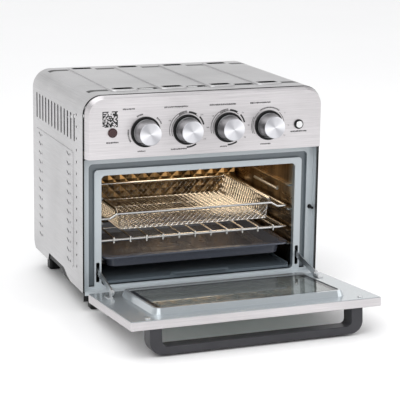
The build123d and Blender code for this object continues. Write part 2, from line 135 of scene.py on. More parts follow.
class Finish:
    """One procedural material, with a short way to add and link its nodes."""

    def __init__(self, name):
        self.material = bpy.data.materials.new(name)
        self.material.use_nodes = True
        self.tree = self.material.node_tree
        self.shader = self.tree.nodes["Principled BSDF"]

    def node(self, kind, settings=None, sockets=None):
        made = self.tree.nodes.new(kind)
        for key, value in (settings or {}).items():
            if key == "stops":
                ramp = made.color_ramp
                while len(ramp.elements) < len(value):
                    ramp.elements.new(1.0)
                for element, (position, colour) in zip(ramp.elements, value):
                    element.position = position
                    element.color = (*colour, 1.0)
            else:
                setattr(made, key, value)
        for key, value in (sockets or {}).items():
            self.put(made.inputs[key], value)
        return made

    def put(self, socket, value):
        if isinstance(value, Value):
            self.tree.links.new(value.socket, socket)
        elif isinstance(value, bpy.types.NodeSocket):
            self.tree.links.new(value, socket)
        elif socket.type == "RGBA" and len(value) == 3:
            socket.default_value = (*value, 1.0)
        else:
            socket.default_value = value

    def math(self, operation, *values):
        made = self.node("ShaderNodeMath", {"operation": operation}, dict(enumerate(values)))
        return Value(self, made.outputs[0])

    def place(self):
        return self.node("ShaderNodeTexCoord").outputs["Object"]

    def axes(self):
        split = self.node("ShaderNodeSeparateXYZ", {}, {0: self.place()})
        return [Value(self, socket) for socket in split.outputs]

    def stretched(self, scale):
        return self.node("ShaderNodeMapping", {}, {"Vector": self.place(), "Scale": scale}).outputs[0]

    def noise(self, vector, scale, detail=2.0, roughness=0.5):
        sockets = {"Vector": vector, "Scale": scale, "Detail": detail, "Roughness": roughness}
        return Value(self, self.node("ShaderNodeTexNoise", {}, sockets).outputs[0])

    def ramp(self, value, stops):
        return self.node("ShaderNodeValToRGB", {"stops": stops}, {0: value}).outputs[0]

    def mix(self, factor, first, second):
        made = self.node("ShaderNodeMix", {"data_type": "RGBA"}, {0: factor, 6: first, 7: second})
        return made.outputs[2]

    def bump(self, height, distance, strength=1.0):
        sockets = {"Height": height, "Distance": distance, "Strength": strength}
        return self.node("ShaderNodeBump", {}, sockets).outputs[0]

    def set(self, **sockets):
        for key, value in sockets.items():
            self.put(self.shader.inputs[key.replace("_", " ")], value)
        return self.material


def step(value, low, high):
    """0 below low, 1 above high, and a straight run between."""
    return ((value - low) / (high - low)).math("MINIMUM", 1.0).math("MAXIMUM", 0.0)


def tinted(colour, amount):
    return tuple(min(1.0, channel * amount) for channel in colour)


def brushed_steel(name, colour, contrast, roof_height=None):
    """Sheet steel with long horizontal brush lines, faint handling marks and a cloudy sheen.

    Given a roof height, the lines run across above it, and painted shade makes the louvres, the front edge
    and the inside near-black."""
    f = Finish(name)
    x, y, z = f.axes()
    lines = f.noise(f.stretched((14, 14, 1900)), 1.0, 4.0, 0.75)
    if roof_height:
        across = f.noise(f.stretched((14, 1900, 14)), 1.0, 4.0, 0.75)
        on_roof = z > roof_height
        lines = lines * (1 - on_roof) + across * on_roof
    cloud = f.noise(f.place(), 5.0, 3.0)
    smear = f.noise(f.stretched((22, 22, 60)), 1.0, 4.0, 0.6)
    brushed = step(lines * 0.6 + cloud * 0.4, 0.32, 0.68)
    tone = f.mix(brushed, tinted(colour, 1 - contrast), tinted(colour, 1 + contrast / 2))
    if roof_height:
        # Painted shade: the casing's front edge, the louvre slots and the inside of the rounded roof corners
        # go near-black.
        front_edge_shade = y < FRONT_OF_CASING + 1.2 * MM
        along = (x + 8.5 * ROOF_PITCH).math("MODULO", ROOF_PITCH) - ROOF_PITCH / 2
        front_row = (y - FRONT_LOUVRE).math("ABSOLUTE") < LOUVRE_HALF_LENGTH
        rear_row = (y - REAR_LOUVRE).math("ABSOLUTE") < LOUVRE_HALF_LENGTH
        louvre = (along.math("ABSOLUTE") < LOUVRE_HALF_WIDTH) * on_roof * front_row.math("MAXIMUM", rear_row)
        out = (x.math("ABSOLUTE") - CORNER_X).math("MAXIMUM", 0.0)
        over = (z - (CASING_HIGH.z - CORNER_DROP)).math("MAXIMUM", 0.0)
        inside = (out * out + over * over).math("SQRT") < CORNER_INSIDE
        shade = louvre.math("MAXIMUM", front_edge_shade).math("MAXIMUM", inside)
        tone = f.mix(shade, tone, (0.006, 0.006, 0.006))
    rough = 0.24 + lines * 0.12 + smear * 0.14
    return f.set(Base_Color=tone, Metallic=1.0, Roughness=rough, Normal=f.bump(lines, 0.00004, 0.6),
                 Anisotropic=0.4)


def plain_steel(name, colour, spread=0.2, rough=0.38):
    """Uncoated sheet or plated hardware: cloudy, with fine speckle."""
    f = Finish(name)
    cloud = f.noise(f.place(), 24.0, 4.0)
    grain = f.noise(f.place(), 900.0, 2.0)
    tone = f.mix(cloud, tinted(colour, 1 - spread), tinted(colour, 1 + spread))
    return f.set(Base_Color=tone, Metallic=1.0, Roughness=rough - 0.08 + cloud * 0.16,
                 Normal=f.bump(grain, 0.00002, 0.5))


def enamel(name, colour, fleck, rough, coat, with_gap_shade=False, metallic=0.0):
    """Baked enamel: an even colour with orange peel, faint clouding and tiny flecks.

    Asked to, it also paints shade: a black line round the front frame, where its edge stands just inside the
    casing and under the fascia, and a darker throat behind the frame."""
    f = Finish(name)
    cloud = f.noise(f.place(), 9.0, 3.0)
    specks = step(f.noise(f.place(), 850.0, 1.0), 0.62, 0.70)
    base = f.mix(cloud, tinted(colour, 0.92), tinted(colour, 1.06))
    tone = f.mix(specks, base, fleck)
    if with_gap_shade:
        # Painted shade: the throat behind the frame goes dark blue-grey, and a black line runs round the
        # frame's outer edge and under the fascia.
        x, y, z = f.axes()
        throat = step(y, FRAME_LOW.y + 15.4 * MM, FRAME_LOW.y + 17 * MM)
        tone = f.mix(throat, tone, (0.16, 0.19, 0.21))
        side = (x.math("ABSOLUTE") > FRAME_HIGH.x - 1.6 * MM) * (y < FRAME_LOW.y + 3 * MM)
        top = z > FRAME_HIGH.z - 3.2 * MM
        tone = f.mix(side.math("MAXIMUM", top), tone, GAP_SHADE_BLACK)
    peel = f.noise(f.place(), 320.0, 2.0)
    return f.set(Base_Color=tone, Metallic=metallic, Roughness=rough - 0.05 + cloud * 0.10,
                 Normal=f.bump(peel, 0.00006, 0.35), Coat_Weight=coat, Coat_Roughness=0.12)


def moulded(name, colour, rough=0.5, grain_scale=700.0):
    """Moulded plastic or rubber with a fine spark-eroded grain."""
    f = Finish(name)
    grain = f.noise(f.place(), grain_scale, 3.0)
    worn = f.noise(f.place(), 30.0, 3.0)
    tone = f.mix(worn, tinted(colour, 0.8), tinted(colour, 1.3))
    return f.set(Base_Color=tone, Roughness=rough - 0.08 + worn * 0.16, Normal=f.bump(grain, 0.00008, 0.5),
                 Specular_IOR_Level=0.22)


def chamber_steel(name):
    """Chamber lining: aluminised sheet with upright streaks, straw coloured above and dark low down."""
    f = Finish(name)
    _, y, z = f.axes()
    cloud = f.noise(f.place(), 14.0, 4.0)
    lines = f.noise(f.stretched((8, 8, 900)), 1.0, 3.0)
    streaks = step(f.noise(f.stretched((34, 34, 5)), 1.0, 3.0, 0.6), 0.36, 0.66)
    # Darker towards the bottom, straw towards the top.
    height_tone = step(z, CHAMBER_LOW.z - 20 * MM, CHAMBER_HIGH.z) * 0.75 + cloud * 0.4
    height_stops = [(0.0, (0.035, 0.034, 0.036)), (0.40, (0.10, 0.078, 0.052)), (0.75, (0.24, 0.16, 0.075)),
                  (1.0, (0.36, 0.23, 0.10))]
    warm = f.ramp(height_tone, height_stops)
    # Painted highlight: pale blue-grey patches near the chamber's front edge stand for the frame's light
    # reflected in the walls.
    front_highlight = step(y, FRONT_OF_CASING + 44 * MM, FRONT_OF_CASING + 24 * MM) * step(cloud, 0.42, 0.56)
    streaked = f.mix(streaks, f.mix(0.62, warm, (0.02, 0.014, 0.010)), f.mix(0.30, warm, (0.78, 0.55, 0.30)))
    tone = f.mix(front_highlight, streaked, (0.34, 0.39, 0.42))
    return f.set(Base_Color=tone, Metallic=1.0, Roughness=0.16 + lines * 0.12 + cloud * 0.14,
                 Normal=f.bump(cloud, 0.0006, 0.4))


def spun_face(name):
    """Turned aluminium: fine rings, and a painted highlight of light and dark wedges fanned about each knob's
    own centre.
    """
    f = Finish(name)
    x, _, z = f.axes()
    along = (x + 4 * KNOB_SPACING).math("MODULO", KNOB_SPACING) - KNOB_SPACING / 2
    up = z - KNOB_HEIGHT
    radius = (along * along + up * up).math("SQRT")
    angle = up.math("ARCTAN2", along)
    # Painted highlight: the fan stands for the sheen that a spun face throws.
    sheen_fan = (angle * 2.0 + 0.6).math("SINE") * 0.5 + (angle * 4.0 + 1.1).math("SINE") * 0.25 + 0.5
    rings = (radius * 9000.0).math("SINE") * 0.5 + 0.5
    tone = f.mix(sheen_fan * 0.8 + rings * 0.15, (0.46, 0.46, 0.49), (0.88, 0.88, 0.91))
    return f.set(Base_Color=tone, Metallic=1.0, Roughness=0.28 + rings * 0.06,
                 Normal=f.bump(rings, 0.00002, 0.3))


def door_glass(name, border):
    """Tinted oven glass, printed black round its edge when a border is given."""
    f = Finish(name)
    x, y, _ = f.axes()
    cloud = f.noise(f.place(), 12.0, 3.0)
    tint = f.mix(cloud, (0.62, 0.67, 0.65), (0.70, 0.74, 0.72))
    material = f.set(Base_Color=tint, Roughness=0.015 + cloud * 0.02, IOR=1.5, Transmission_Weight=0.88)
    if border:
        middle = (GLASS_LOW.y + GLASS_HIGH.y) / 2
        half = (GLASS_HIGH.y - GLASS_LOW.y) / 2
        edge = (x.math("ABSOLUTE") > GLASS_HIGH.x - border).math(
            "MAXIMUM", (y - middle).math("ABSOLUTE") > half - border)
        ink = f.node("ShaderNodeBsdfPrincipled", {}, {"Base Color": (0.008, 0.008, 0.009), "Roughness": 0.12})
        both = f.node("ShaderNodeMixShader", {}, {0: edge, 1: f.shader.outputs[0], 2: ink.outputs[0]})
        out = f.tree.nodes["Material Output"]
        f.tree.links.new(both.outputs[0], out.inputs[0])
    return material


def clear_red(name):
    """Dark red lamp lens with faint moulded rings."""
    f = Finish(name)
    swirl = f.noise(f.place(), 260.0, 2.0)
    tone = f.mix(swirl, (0.012, 0.0015, 0.002), (0.05, 0.004, 0.006))
    return f.set(Base_Color=tone, Roughness=0.12 + swirl * 0.08, Coat_Weight=0.15, Coat_Roughness=0.04)


def lamp_glass(name):
    f = Finish(name)
    ripple = f.noise(f.place(), 120.0, 2.0)
    tone = f.mix(ripple, (1.0, 0.72, 0.38), (1.0, 0.86, 0.60))
    return f.set(Base_Color=tone, Roughness=0.25 + ripple * 0.1, Emission_Color=tone, Emission_Strength=1.5)


def ceramic(name):
    f = Finish(name)
    cloud = f.noise(f.place(), 60.0, 3.0)
    tone = f.mix(cloud, (0.70, 0.67, 0.60), (0.86, 0.84, 0.79))
    return f.set(Base_Color=tone, Roughness=0.35 + cloud * 0.2, Coat_Weight=0.3)


def printed_ink(name):
    f = Finish(name)
    blot = f.noise(f.place(), 400.0, 2.0)
    tone = f.mix(blot, (0.004, 0.004, 0.004), (0.012, 0.012, 0.012))
    return f.set(Base_Color=tone, Roughness=0.5 + blot * 0.15)


# Mesh helpers

def add_piece(name, mesh_editor, material, body, smooth=None):
    """Turn a finished bmesh into an object that rides on a body."""
    if smooth:
        for face in mesh_editor.faces:
            face.smooth = True
        for edge in mesh_editor.edges:
            sharp = len(edge.link_faces) != 2 or edge.calc_face_angle(0.0) > math.radians(smooth)
            edge.smooth = not sharp
    mesh = bpy.data.meshes.new(name)
    mesh_editor.to_mesh(mesh)
    mesh_editor.free()
    mesh.materials.append(material)
    piece = bpy.data.objects.new(name, mesh)
    bpy.context.scene.collection.objects.link(piece)
    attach(piece, body)
    return piece


def add_box(editor, low, high):
    low = Vector(low)
    high = Vector(high)
    size = high - low
    matrix = Matrix.Translation((low + high) / 2) @ Matrix.Diagonal((*size, 1.0))
    return bmesh.ops.create_cube(editor, size=1.0, matrix=matrix)["verts"]


def turned(profile, centre, steps=64):
    """Closed shape spun about the y axis from a profile of (radius, y) points."""
    editor = bmesh.new()
    verts = [editor.verts.new((radius, along, 0)) for radius, along in profile]
    edges = [editor.edges.new(pair) for pair in zip(verts, verts[1:])]
    bmesh.ops.spin(editor, geom=verts + edges, cent=(0, 0, 0), axis=(0, 1, 0), angle=math.tau, steps=steps,
                   use_merge=True)
    bmesh.ops.remove_doubles(editor, verts=editor.verts, dist=1e-6)
    bmesh.ops.recalc_face_normals(editor, faces=editor.faces)
    bmesh.ops.translate(editor, verts=editor.verts, vec=centre)
    return editor


def set_finish(material, *nodes):
    for node in nodes:
        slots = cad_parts[node].data.materials
        if not slots:
            slots.append(material)
        for i in range(len(slots)):
            slots[i] = material


# Settings

class OvenSizes(bpy.types.PropertyGroup):
    mesh_pitch: bpy.props.FloatProperty(
        name="Mesh pitch", description="Distance between woven basket wires", default=9.0 * MM, unit="LENGTH")
    mesh_wire: bpy.props.FloatProperty(
        name="Mesh wire", description="Thickness of a woven basket wire", default=0.95 * MM, unit="LENGTH")
    diamond_width: bpy.props.FloatProperty(
        name="Diamond width", description="Width of a pressed diamond in the back wall", default=22 * MM,
        unit="LENGTH")
    diamond_height: bpy.props.FloatProperty(
        name="Diamond height", description="Height of a pressed diamond", default=21 * MM, unit="LENGTH")
    mark_width: bpy.props.FloatProperty(
        name="Mark width", description="Width of a thin printed dial line", default=0.8 * MM, unit="LENGTH")


class OvenColours(bpy.types.PropertyGroup):
    steel: bpy.props.FloatVectorProperty(
        name="Steel", description="Brushed casing steel", subtype="COLOR", default=(0.60, 0.595, 0.60))
    enamel: bpy.props.FloatVectorProperty(
        name="Enamel", description="Pale front frame and door liner", subtype="COLOR",
        default=(0.56, 0.61, 0.64))
    handle: bpy.props.FloatVectorProperty(
        name="Handle", description="Dark handle coating", subtype="COLOR", default=(0.045, 0.045, 0.05))
    lamp: bpy.props.FloatVectorProperty(
        name="Chamber light", description="Colour of the light in the chamber", subtype="COLOR",
        default=(1.0, 0.80, 0.56))


def sizes():
    return bpy.context.scene.oven_sizes


def colours():
    return bpy.context.scene.oven_colours


# Pieces

class OVEN_OT_casing_finish(bpy.types.Operator):
    """Give the casing, fascia and door skin their brushed steel, and the hidden sheets their plain one"""
    bl_idname = "oven.casing_finish"
    bl_label = "Casing finish"

    def execute(self, context):
        steel = tuple(colours().steel)
        set_finish(brushed_steel("brushed_casing_steel", steel, 0.30, CASING_HIGH.z - 6 * MM), "outer_casing")
        # Painted light: the fascia and door skin take a lighter copy of the casing steel, as if the front
        # faces caught more light.
        lit_front_steel = tuple(c * tint for c, tint in zip(steel, (1.12, 1.09, 1.10)))
        front = brushed_steel("brushed_lit_front_steel", lit_front_steel, 0.30)
        set_finish(front, "control_fascia", "door_outer_panel")
        set_finish(plain_steel("galvanised_sheet", (0.50, 0.52, 0.53)), "back_panel")
        # Painted shade: these sheets inside the casing are near-black, so the spaces behind the louvres, the
        # fascia and the fan guard read as shade.
        set_finish(plain_steel("shade_black_sheet", (0.035, 0.035, 0.037), 0.3, 0.6),
                   "control_plate", "heat_shield", "fan_impeller")
        set_finish(moulded("black_base_sheet", (0.012, 0.012, 0.013), 0.45), "base_pan")
        plated = plain_steel("plated_hardware", (0.66, 0.67, 0.68), 0.15, 0.30)
        set_finish(plated, "back_screws", "door_screws", "hinge_brackets", "hinge_pins", "hinge_knuckles",
                   "stay_brackets", "stay_arm_left", "stay_arm_right", "fan_shaft", "thermostat_probe",
                   *[name + "_shaft" for name in KNOBS])
        black = moulded("black_moulding", (0.006, 0.006, 0.0065), 0.42)
        set_finish(black, "feet", "dial_rings", "light_button_bezel", "micro_switches", "door_switch_plunger",
                   "cord_gland", "selector_switches", "timer_bodies")
        set_finish(moulded("motor_casting", (0.10, 0.10, 0.10), 0.6, 300.0), "fan_motor")
        return {"FINISHED"}


class OVEN_OT_chamber_finish(bpy.types.Operator):
    """Give the chamber lining, elements, rack, pan and tray their finishes"""
    bl_idname = "oven.chamber_finish"
    bl_label = "Chamber finish"

    def execute(self, context):
        lining = chamber_steel("straw_dark_lining")
        set_finish(lining, "chamber_right_wall", "chamber_left_wall", "chamber_roof", "chamber_floor",
                   "chamber_back_wall", "fan_guard")
        bright = plain_steel("bright_wire", (0.80, 0.79, 0.77), 0.12, 0.20)
        set_finish(bright, "wire_rack", "fry_basket_frame")
        navy = enamel("navy_pan_enamel", (0.085, 0.094, 0.122), (0.15, 0.16, 0.20), 0.26, 0.6)
        set_finish(navy, "baking_pan")
        set_finish(enamel("tray_non_stick", (0.13, 0.16, 0.185), (0.16, 0.19, 0.21), 0.26, 0.4), "crumb_tray")
        set_finish(plain_steel("element_sheath", (0.16, 0.15, 0.14), 0.3, 0.5), "heating_elements")
        set_finish(ceramic("terminal_ceramic"), "element_terminals")
        set_finish(lamp_glass("warm_lamp_glass"), "oven_lamp")
        return {"FINISHED"}


class OVEN_OT_front_finish(bpy.types.Operator):
    """Give the front frame, door liner, glass, handle, lamp and button their finishes"""
    bl_idname = "oven.front_finish"
    bl_label = "Front finish"

    def execute(self, context):
        pale = tuple(colours().enamel)
        fleck = tinted(pale, 0.94)
        set_finish(enamel("pale_frame_enamel", pale, fleck, 0.30, 0.35, True), "front_frame")
        liner = enamel("pale_door_enamel", tinted(pale, 0.80), fleck, 0.20, 0.6, metallic=0.5)
        set_finish(liner, "door_inner_panel")
        set_finish(door_glass("bordered_door_glass", 11 * MM), "door_glass_inner")
        set_finish(door_glass("outer_door_glass", 0), "door_glass_outer")
        set_finish(moulded("handle_coating", tuple(colours().handle), 0.36, 900.0), "door_handle")
        set_finish(clear_red("lamp_lens_red"), "power_lamp_lens")
        set_finish(plain_steel("silver_button", (0.80, 0.80, 0.80), 0.1, 0.3), "light_button")
        return {"FINISHED"}


class OVEN_OT_knobs(bpy.types.Operator):
    """Turn the four knobs: grey side, spun face and a black pointer on the lower left"""
    bl_idname = "oven.knobs"
    bl_label = "Knobs"

    def execute(self, context):
        side = plain_steel("knob_side_grey", (0.34, 0.34, 0.35), 0.10, 0.34)
        face = spun_face("knob_spun_face")
        ink = moulded("knob_pointer_black", (0.012, 0.012, 0.012), 0.4)
        for name in KNOBS:
            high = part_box(name + "_knob")[1]
            cap_low, cap_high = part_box(name + "_knob_cap")
            centre = Vector((KNOB_CENTRES[name].x, 0, KNOB_HEIGHT))
            foot = high.x - centre.x
            top = cap_high.x - centre.x
            front = cap_low.y
            cap_back = front + CAP_DEPTH
            body_profile = [(0.0, high.y), (foot - 0.6 * MM, high.y), (foot, high.y - 0.6 * MM),
                            (foot, high.y - 2.0 * MM), (foot - 0.5 * MM, high.y - 2.6 * MM),
                            (top + 0.25 * MM, cap_back + 0.6 * MM), (top - 0.1 * MM, cap_back),
                            (0.0, cap_back)]
            knob = add_piece(name + "_knob_turned", turned(body_profile, centre), side, name + "_knob",
                             30)
            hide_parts(name + "_knob")
            cap_profile = [(0.0, cap_back), (top, cap_back), (top, front + 0.5 * MM),
                           (top - 0.5 * MM, front + 0.1 * MM), (top - 1.0 * MM, front), (0.0, front)]
            cap = add_piece(name + "_cap_spun", turned(cap_profile, centre), face, name + "_knob",
                            40)
            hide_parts(name + "_knob_cap")
            self.pointer(name, centre, foot, top, front, high.y, ink)
        return {"FINISHED"}

    def pointer(self, name, centre, foot, top, front, back, ink):
        """A black strip let into the knob's sloping side."""
        length = back - front
        half_width = 1.5 * MM
        editor = bmesh.new()
        low = (-0.8 * MM, -length / 2 + 1.0 * MM, -half_width)
        add_box(editor, low, (0.6 * MM, length / 2 - 0.6 * MM, half_width))
        bmesh.ops.bevel(editor, geom=editor.edges, offset=0.3 * MM, affect="EDGES", segments=2, profile=0.5,
                        material=-1)
        lean = Matrix.Rotation(-math.atan2(foot - top, length), 4, "Z")
        out = Matrix.Translation(((foot + top) / 2, (back + front) / 2, 0))
        turn = Matrix.Rotation(math.radians(POINTER_ANGLE), 4, "Y")
        editor.transform(Matrix.Translation(centre) @ turn @ out @ lean)
        add_piece(name + "_pointer", editor, ink, name + "_knob")


class OVEN_OT_dial_marks(bpy.types.Operator):
    """Print the dial arcs, ticks, plain title bars and a plain square of dots on the fascia"""
    bl_idname = "oven.dial_marks"
    bl_label = "Dial marks"

    def execute(self, context):
        editor = bmesh.new()
        wall = FASCIA_LOW.y
        proud = 0.12 * MM
        rng = random.Random(7)

        def bar(x, z, width, height):
            low = (x - width / 2, wall - proud, z - height / 2)
            add_box(editor, low, (x + width / 2, wall + 0.2 * MM, z + height / 2))

        def arc(centre_x, radius, width, start, end):
            strip = bmesh.new()
            inner = strip.verts.new((radius - width / 2, wall - proud, 0))
            outer = strip.verts.new((radius + width / 2, wall - proud, 0))
            edge = strip.edges.new((inner, outer))
            sweep = math.radians(end - start)
            bmesh.ops.spin(strip, geom=[inner, outer, edge], cent=(0, 0, 0), axis=(0, -1, 0), angle=sweep,
                           steps=max(4, int(abs(end - start) / 5)))
            turn = Matrix.Rotation(-math.radians(start), 3, "Y")
            bmesh.ops.rotate(strip, verts=strip.verts, cent=(0, 0, 0), matrix=turn)
            bmesh.ops.translate(strip, verts=strip.verts, vec=(centre_x, 0, KNOB_HEIGHT))
            bmesh.ops.solidify(strip, geom=strip.faces, thickness=0.3 * MM)
            bmesh.ops.recalc_face_normals(strip, faces=strip.faces)
            mesh = bpy.data.meshes.new("arc")
            strip.to_mesh(mesh)
            strip.free()
            editor.from_mesh(mesh)
            bpy.data.meshes.remove(mesh)

        def title(x, z, width, height=2.9 * MM):
            """A row of short bars, as long as a printed word and saying nothing."""
            left = x - width / 2
            while left < x + width / 2:
                run = rng.uniform(0.9, 1.7) * MM
                bar(left + run / 2, z + rng.uniform(-0.2, 0.2) * MM, run, height * rng.uniform(0.65, 1.0))
                left += run + rng.uniform(0.3, 0.8) * MM

        def number(text, x, z, height=3.0 * MM):
            curve = bpy.data.curves.new("number", "FONT")
            curve.body = text
            curve.size = height
            curve.align_x = "CENTER"
            curve.align_y = "CENTER"
            curve.extrude = 0.15 * MM
            carrier = bpy.data.objects.new("number", curve)
            bpy.context.scene.collection.objects.link(carrier)
            mesh = bpy.data.meshes.new_from_object(carrier)
            mesh.transform(Matrix.Translation((x, wall, z)) @ Matrix.Rotation(math.radians(90), 4, "X"))
            editor.from_mesh(mesh)
            bpy.data.objects.remove(carrier)
            bpy.data.curves.remove(curve)
            bpy.data.meshes.remove(mesh)

        def arc_title(centre_x, radius, start, end):
            """A word's worth of short strokes set round a dial."""
            angle = start
            while angle < end:
                run = rng.uniform(1.6, 3.2)
                arc(centre_x, radius, 2.4 * MM, angle, angle + run)
                angle += run + rng.uniform(0.9, 1.6)

        thin = sizes().mark_width
        thick = 2.6 * MM
        ring = 27.4 * MM
        x1, x2, x3, x4 = [KNOB_CENTRES[name].x for name in KNOBS]
        for start, end in ((99, 119), (170, 212), (24, 48)):
            arc_title(x1, ring + 1.2 * MM, start, end)
        for centre_x in (x2, x3):
            arc(centre_x, ring - 0.8 * MM, thin, 50, 200)
            arc(centre_x, ring + 2.8 * MM, thin, 92, 196)
            arc_title(centre_x, ring + 1.0 * MM, 92, 122)
            for start, end in ((58, 86), (14, 44), (-92, -58)):
                arc(centre_x, ring + 0.8 * MM, thick, start, end)
        arc(x4, ring - 0.6 * MM, thin, -30, 48)
        arc(x4, ring + 0.4 * MM, thin, 128, 208)
        arc(x4, ring + 2.6 * MM, thin, 150, 204)
        arc_title(x4, ring + 1.6 * MM, 52, 124)
        dial_numbers = (
            (x2, ("230", "200", "150", "100"), (46, 3, -32, 150)),
            (x3, ("20", "30", "40", "10"), (46, 3, -34, 142)),
            (x4, ("5", "15", "25"), (36, -4, -36)),
        )
        for centre_x, values, angles in dial_numbers:
            for value, angle in zip(values, angles):
                spot = math.radians(angle)
                reach = (34.5 * MM * math.cos(spot), 31.5 * MM * math.sin(spot))
                number(value, centre_x + reach[0], KNOB_HEIGHT + reach[1])
        for centre_x, offset, width in ((x1, -7, 12), (x2, -14, 27), (x3, -8, 12), (x4, -6, 16)):
            title(centre_x + offset * MM, KNOB_HEIGHT - 30.5 * MM, width * MM, 2.4 * MM)
        ledge = KNOB_HEIGHT + 37.5 * MM
        title(x1 - 28 * MM, ledge, 19 * MM)
        title(x2 - 19 * MM, ledge, 40 * MM)
        title(x3 - 11 * MM, ledge, 44 * MM)
        title(x4 - 16 * MM, ledge, 34 * MM)
        lamp = middle_of("power_lamp_lens")
        button = middle_of("light_button")
        title(lamp.x, lamp.z - 15.5 * MM, 20 * MM, 2.6 * MM)
        title(button.x, button.z - 11.6 * MM, 28 * MM, 2.8 * MM)
        cells = 15
        cell = 25.0 * MM / cells
        corner = Vector((lamp.x - 16.3 * MM, 0, lamp.z + 9.0 * MM))
        for column in range(cells):
            for row in range(cells):
                edge = column in (0, cells - 1) or row in (0, cells - 1)
                if rng.random() < (0.72 if edge else 0.55):
                    bar(corner.x + (column + 0.5) * cell, corner.z + (row + 0.5) * cell, cell, cell)
        add_piece("fascia_printing", editor, printed_ink("printed_black"), "oven_body")
        return {"FINISHED"}


def diamond_sheet(width, height, cell_width, cell_height):
    """Flat grid of diamond cells in the x and y plane, cut to a rectangle about the origin.

    Each cell is a square grid's cell turned an eighth of a turn and scaled."""
    editor = bmesh.new()
    count = 2 * int((width / cell_width + height / cell_height) / 2) + 4
    bmesh.ops.create_grid(editor, x_segments=count, y_segments=count, size=count / 2)
    eighth = Matrix.Rotation(math.radians(45), 3, "Z")
    bmesh.ops.rotate(editor, verts=editor.verts, cent=(0, 0, 0), matrix=eighth)
    root = math.sqrt(2)
    bmesh.ops.scale(editor, verts=editor.verts, vec=(cell_width / root, cell_height / root, 1))
    for axis, reach in (((1, 0, 0), width / 2), ((0, 1, 0), height / 2)):
        for normal in (Vector(axis), -Vector(axis)):
            bmesh.ops.bisect_plane(editor, geom=editor.verts[:] + editor.edges[:] + editor.faces[:],
                                   plane_co=normal * reach, plane_no=normal, clear_outer=True, dist=1e-6)
    return editor


class OVEN_OT_back_wall(bpy.types.Operator):
    """Press the chamber's back wall into rows of shallow diamonds"""
    bl_idname = "oven.back_wall"
    bl_label = "Back wall"

    def execute(self, context):
        width = CHAMBER_HIGH.x - CHAMBER_LOW.x - 2.2 * MM
        height = CHAMBER_HIGH.z - CHAMBER_LOW.z
        editor = diamond_sheet(width, height, sizes().diamond_width, sizes().diamond_height)
        bmesh.ops.poke(editor, faces=editor.faces, offset=3.2 * MM)
        upright = Matrix.Rotation(math.radians(90), 3, "X")
        bmesh.ops.rotate(editor, verts=editor.verts, cent=(0, 0, 0), matrix=upright)
        bmesh.ops.recalc_face_normals(editor, faces=editor.faces)
        bmesh.ops.solidify(editor, geom=editor.faces, thickness=0.6 * MM)
        middle = Vector((0, CHAMBER_LOW.y, (CHAMBER_LOW.z + CHAMBER_HIGH.z) / 2))
        bmesh.ops.translate(editor, verts=editor.verts, vec=middle)
        lining = bpy.data.materials["straw_dark_lining"]
        wall = add_piece("chamber_back_diamonds", editor, lining, "oven_body")
        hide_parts("chamber_back_wall")
        return {"FINISHED"}


class OVEN_OT_basket_mesh(bpy.types.Operator):
    """Weave the basket's floor and four leaning sides from crossing wires"""
    bl_idname = "oven.basket_mesh"
    bl_label = "Basket mesh"

    def execute(self, context):
        pitch = sizes().mesh_pitch
        wire = sizes().mesh_wire
        lean = 3.8 * MM
        rise = MESH_HIGH.z - MESH_LOW.z
        low_x = MESH_LOW.x + lean
        high_x = MESH_HIGH.x - lean
        low_y = MESH_LOW.y + lean
        high_y = MESH_HIGH.y - lean
        floor_z = MESH_LOW.z + wire
        side_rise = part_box("fry_basket_frame")[1].z - 2 * MM - floor_z
        front_rise = rise - wire
        panels = [
            ((low_x, low_y, floor_z), (high_x - low_x, 0, 0), (0, high_y - low_y, 0)),
            ((low_x, low_y, floor_z), (high_x - low_x, 0, 0), (0, -lean, front_rise)),
            ((high_x, high_y, floor_z), (low_x - high_x, 0, 0), (0, lean, front_rise)),
            ((low_x, high_y, floor_z), (0, low_y - high_y, 0), (-lean, 0, side_rise)),
            ((high_x, low_y, floor_z), (0, high_y - low_y, 0), (lean, 0, side_rise)),
        ]
        whole = bmesh.new()
        for origin, along, up in panels:
            origin, along, up = Vector(origin), Vector(along), Vector(up)
            editor = diamond_sheet(along.length, up.length, pitch, pitch)
            for vert in editor.verts:
                crossing = round(vert.co.x / pitch * 2) % 2
                vert.co.z = 0.35 * MM * (1 if crossing else -1)
            bmesh.ops.wireframe(editor, faces=editor.faces, thickness=wire, use_replace=True,
                                use_boundary=True, use_even_offset=False)
            out = along.cross(up).normalized()
            middle = origin + along / 2 + up / 2
            turn = Matrix((along.normalized(), up.normalized(), out)).transposed().to_4x4()
            editor.transform(Matrix.Translation(middle) @ turn)
            mesh = bpy.data.meshes.new("panel")
            editor.to_mesh(mesh)
            editor.free()
            whole.from_mesh(mesh)
            bpy.data.meshes.remove(mesh)
        bmesh.ops.recalc_face_normals(whole, faces=whole.faces)
        bright = bpy.data.materials["bright_wire"]
        piece = add_piece("basket_woven_wire", whole, bright, "fry_basket")
        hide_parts("fry_basket_mesh")
        return {"FINISHED"}


# Stage

CAMERA_FOCAL = 133.94
CAMERA_SHIFT = -0.1
CAMERA_PLACE = Vector((-0.8466, FRONT_OF_CASING - 2.1846, 0.7205))
CAMERA_YAW = math.radians(21.015)
CAMERA_PITCH = math.radians(11.665)
CAMERA_ROLL = math.radians(0.781)


